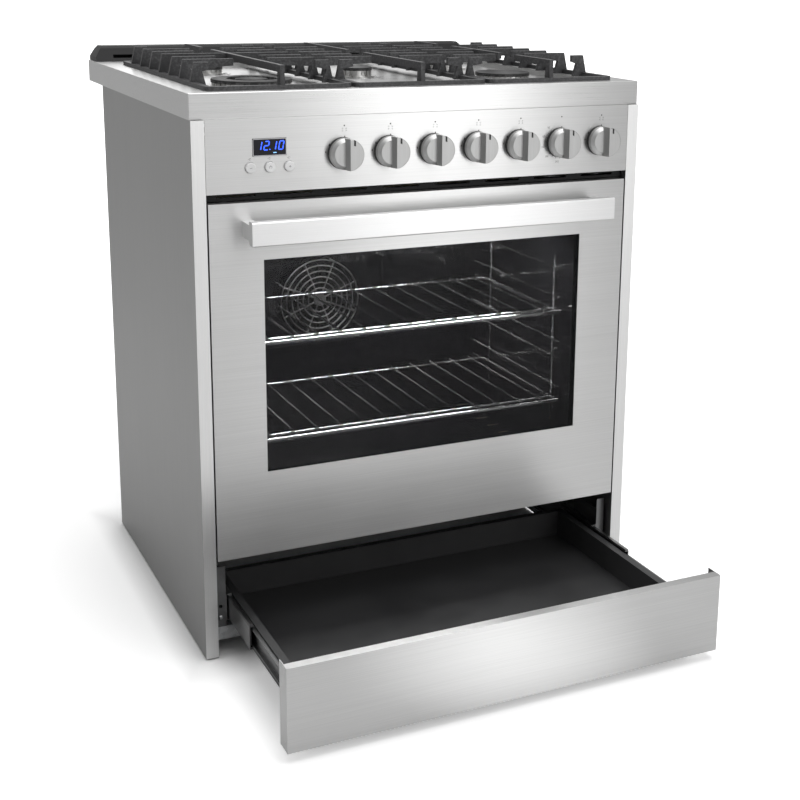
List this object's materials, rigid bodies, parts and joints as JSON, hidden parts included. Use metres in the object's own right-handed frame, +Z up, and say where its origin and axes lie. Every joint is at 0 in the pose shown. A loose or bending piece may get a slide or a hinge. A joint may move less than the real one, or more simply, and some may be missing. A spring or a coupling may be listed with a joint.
{
  "type": "freestanding gas range",
  "caption": "Stainless freestanding gas cooker: gas hob with cast grates, control panel with knobs and clock, windowed drop-down oven door, pull-out storage drawer.",
  "frame": {"origin": "centre of the footprint (drawer pulled out, as stored) on the floor under the feet", "axes": "+X to the viewer's right when facing the oven door, +Y to the back, +Z up"},
  "size_m": [0.76, 1.03, 0.92],
  "materials": {
    "stainless": "fine horizontal brushing, satin",
    "handle_steel": "fine brushed, bright",
    "knob_metal": "satin zinc, fine concentric grain",
    "galvanised": "zinc coated sheet",
    "black_paint": "satin black powder coat",
    "black_enamel": "gloss black porcelain enamel",
    "cast_iron": "matte black cast iron",
    "cap_enamel": "matte black enamel",
    "burner_alloy": "cast aluminium",
    "chrome_wire": "bright chromed wire",
    "gas_steel": "dull steel tube",
    "brass": "machined brass",
    "black_plastic": "matte black plastic",
    "display": "black window with blue digits",
    "button_plastic": "satin white",
    "window_glass": "tinted heat-resistant glass",
    "gasket": "braided glass fibre",
    "wool": "glass wool"
  },
  "bodies": {
    "body": {"left_side_panel": "stainless", "right_side_panel": "stainless", "base_frame": "galvanised", "casing_screws": "galvanised", "rear_panel": "galvanised", "drawer_heat_shield": "galvanised", "cooktop_pan": "stainless", "rear_trim": "black_paint", "control_panel": "stainless", "vent_strip": "black_paint", "knob_collars": "black_plastic", "clock_display": "display", "clock_module": "black_plastic", "gas_manifold": "gas_steel", "gas_inlet": "brass", "power_gland": "black_plastic", "burner_heads": "burner_alloy", "oven_liner": "black_enamel", "oven_face_frame": "black_enamel", "oven_insulation": "wool", "hinge_receivers": "galvanised", "rack_guides": "chrome_wire", "fan_cover": "black_enamel", "fan_motor": "galvanised", "oven_lamp": "window_glass", "oven_burners": "gas_steel", "drawer_slides_outer": "galvanised"},
    "feet": {"levelling_feet": "black_plastic"},
    "door": {"door_outer_panel": "stainless", "door_window_glass": "window_glass", "door_inner_panel": "black_paint", "door_inner_glass": "window_glass", "door_gasket": "gasket", "door_hinge_arms": "galvanised", "door_handle": "handle_steel"},
    "drawer": {"drawer_front": "stainless", "drawer_box": "black_paint", "drawer_slides_inner": "galvanised"},
    "slide_middle": {"drawer_slides_middle": "galvanised"},
    "fan": {"fan_wheel": "burner_alloy"},
    "rack_upper": {"oven_rack_upper": "chrome_wire"},
    "rack_lower": {"oven_rack_lower": "chrome_wire"},
    "cap_front_left": {"burner_cap_front_left": "cap_enamel"},
    "cap_rear_left": {"burner_cap_rear_left": "cap_enamel"},
    "cap_centre": {"burner_cap_centre": "cap_enamel"},
    "cap_front_right": {"burner_cap_front_right": "cap_enamel"},
    "cap_rear_right": {"burner_cap_rear_right": "cap_enamel"},
    "grate_left_body": {"grate_left": "cast_iron"},
    "grate_centre_body": {"grate_centre": "cast_iron"},
    "grate_right_body": {"grate_right": "cast_iron"},
    "knob_1_body": {"knob_1": "knob_metal"},
    "knob_2_body": {"knob_2": "knob_metal"},
    "knob_3_body": {"knob_3": "knob_metal"},
    "knob_4_body": {"knob_4": "knob_metal"},
    "knob_5_body": {"knob_5": "knob_metal"},
    "knob_6_body": {"knob_6": "knob_metal"},
    "knob_7_body": {"knob_7": "knob_metal"},
    "button_1": {"clock_button_1": "button_plastic"},
    "button_2": {"clock_button_2": "button_plastic"},
    "button_3": {"clock_button_3": "button_plastic"}
  },
  "joints": [
    {"name": "feet_adjust", "type": "slide", "parent": "body", "child": "feet", "axis": [0, 0, -1], "range_m": [0, 0.02]},
    {"name": "door_hinge", "type": "hinge", "parent": "body", "child": "door", "pos_m": [0, -0.169, 0.178], "axis": [1, 0, 0], "range_deg": [0, 90], "stiffness_Nm_per_rad": 14, "springref_deg": -14.32},
    {"name": "drawer_slide", "type": "slide", "parent": "body", "child": "drawer", "axis": [0, -1, 0], "range_m": [-0.3235, 0.0765]},
    {"name": "slide_middle_travel", "type": "slide", "parent": "body", "child": "slide_middle", "axis": [0, -1, 0], "range_m": [-0.16175, 0.03825]},
    {"name": "fan_spin", "type": "hinge", "parent": "body", "child": "fan", "pos_m": [-0.024, 0.26, 0.45], "axis": [0, 1, 0], "continuous": true},
    {"name": "rack_upper_slide", "type": "slide", "parent": "body", "child": "rack_upper", "axis": [0, -1, 0], "range_m": [-0.06, 0.012]},
    {"name": "rack_lower_slide", "type": "slide", "parent": "body", "child": "rack_lower", "axis": [0, -1, 0], "range_m": [-0.06, 0.012]},
    {"name": "cap_front_left_lift", "type": "slide", "parent": "body", "child": "cap_front_left", "axis": [0, 0, 1], "range_m": [0, 0.012]},
    {"name": "cap_rear_left_lift", "type": "slide", "parent": "body", "child": "cap_rear_left", "axis": [0, 0, 1], "range_m": [0, 0.012]},
    {"name": "cap_centre_lift", "type": "slide", "parent": "body", "child": "cap_centre", "axis": [0, 0, 1], "range_m": [0, 0.012]},
    {"name": "cap_front_right_lift", "type": "slide", "parent": "body", "child": "cap_front_right", "axis": [0, 0, 1], "range_m": [0, 0.012]},
    {"name": "cap_rear_right_lift", "type": "slide", "parent": "body", "child": "cap_rear_right", "axis": [0, 0, 1], "range_m": [0, 0.012]},
    {"name": "grate_left_lift", "type": "slide", "parent": "body", "child": "grate_left_body", "axis": [0, 0, 1], "range_m": [0, 0.15]},
    {"name": "grate_centre_lift", "type": "slide", "parent": "body", "child": "grate_centre_body", "axis": [0, 0, 1], "range_m": [0, 0.15]},
    {"name": "grate_right_lift", "type": "slide", "parent": "body", "child": "grate_right_body", "axis": [0, 0, 1], "range_m": [0, 0.15]},
    {"name": "knob_1_turn", "type": "hinge", "parent": "body", "child": "knob_1_body", "pos_m": [-0.147, -0.215, 0.7895], "axis": [0, -1, 0], "range_deg": [0, 270]},
    {"name": "knob_2_turn", "type": "hinge", "parent": "body", "child": "knob_2_body", "pos_m": [-0.0717, -0.215, 0.7895], "axis": [0, -1, 0], "range_deg": [0, 270]},
    {"name": "knob_3_turn", "type": "hinge", "parent": "body", "child": "knob_3_body", "pos_m": [0.0036, -0.215, 0.7895], "axis": [0, -1, 0], "range_deg": [0, 270]},
    {"name": "knob_4_turn", "type": "hinge", "parent": "body", "child": "knob_4_body", "pos_m": [0.0789, -0.215, 0.7895], "axis": [0, -1, 0], "range_deg": [0, 270]},
    {"name": "knob_5_turn", "type": "hinge", "parent": "body", "child": "knob_5_body", "pos_m": [0.1542, -0.215, 0.7895], "axis": [0, -1, 0], "range_deg": [0, 270]},
    {"name": "knob_6_turn", "type": "hinge", "parent": "body", "child": "knob_6_body", "pos_m": [0.2295, -0.215, 0.7895], "axis": [0, -1, 0], "range_deg": [0, 270]},
    {"name": "knob_7_turn", "type": "hinge", "parent": "body", "child": "knob_7_body", "pos_m": [0.3048, -0.215, 0.7895], "axis": [0, -1, 0], "range_deg": [0, 270]},
    {"name": "button_1_press", "type": "slide", "parent": "body", "child": "button_1", "axis": [0, 1, 0], "range_m": [0, 0.0015], "stiffness_N_per_m": 300},
    {"name": "button_2_press", "type": "slide", "parent": "body", "child": "button_2", "axis": [0, 1, 0], "range_m": [0, 0.0015], "stiffness_N_per_m": 300},
    {"name": "button_3_press", "type": "slide", "parent": "body", "child": "button_3", "axis": [0, 1, 0], "range_m": [0, 0.0015], "stiffness_N_per_m": 300}
  ],
  "couplings": [
    {"joint": "slide_middle_travel", "follows": "drawer_slide", "ratio": 0.5}
  ]
}
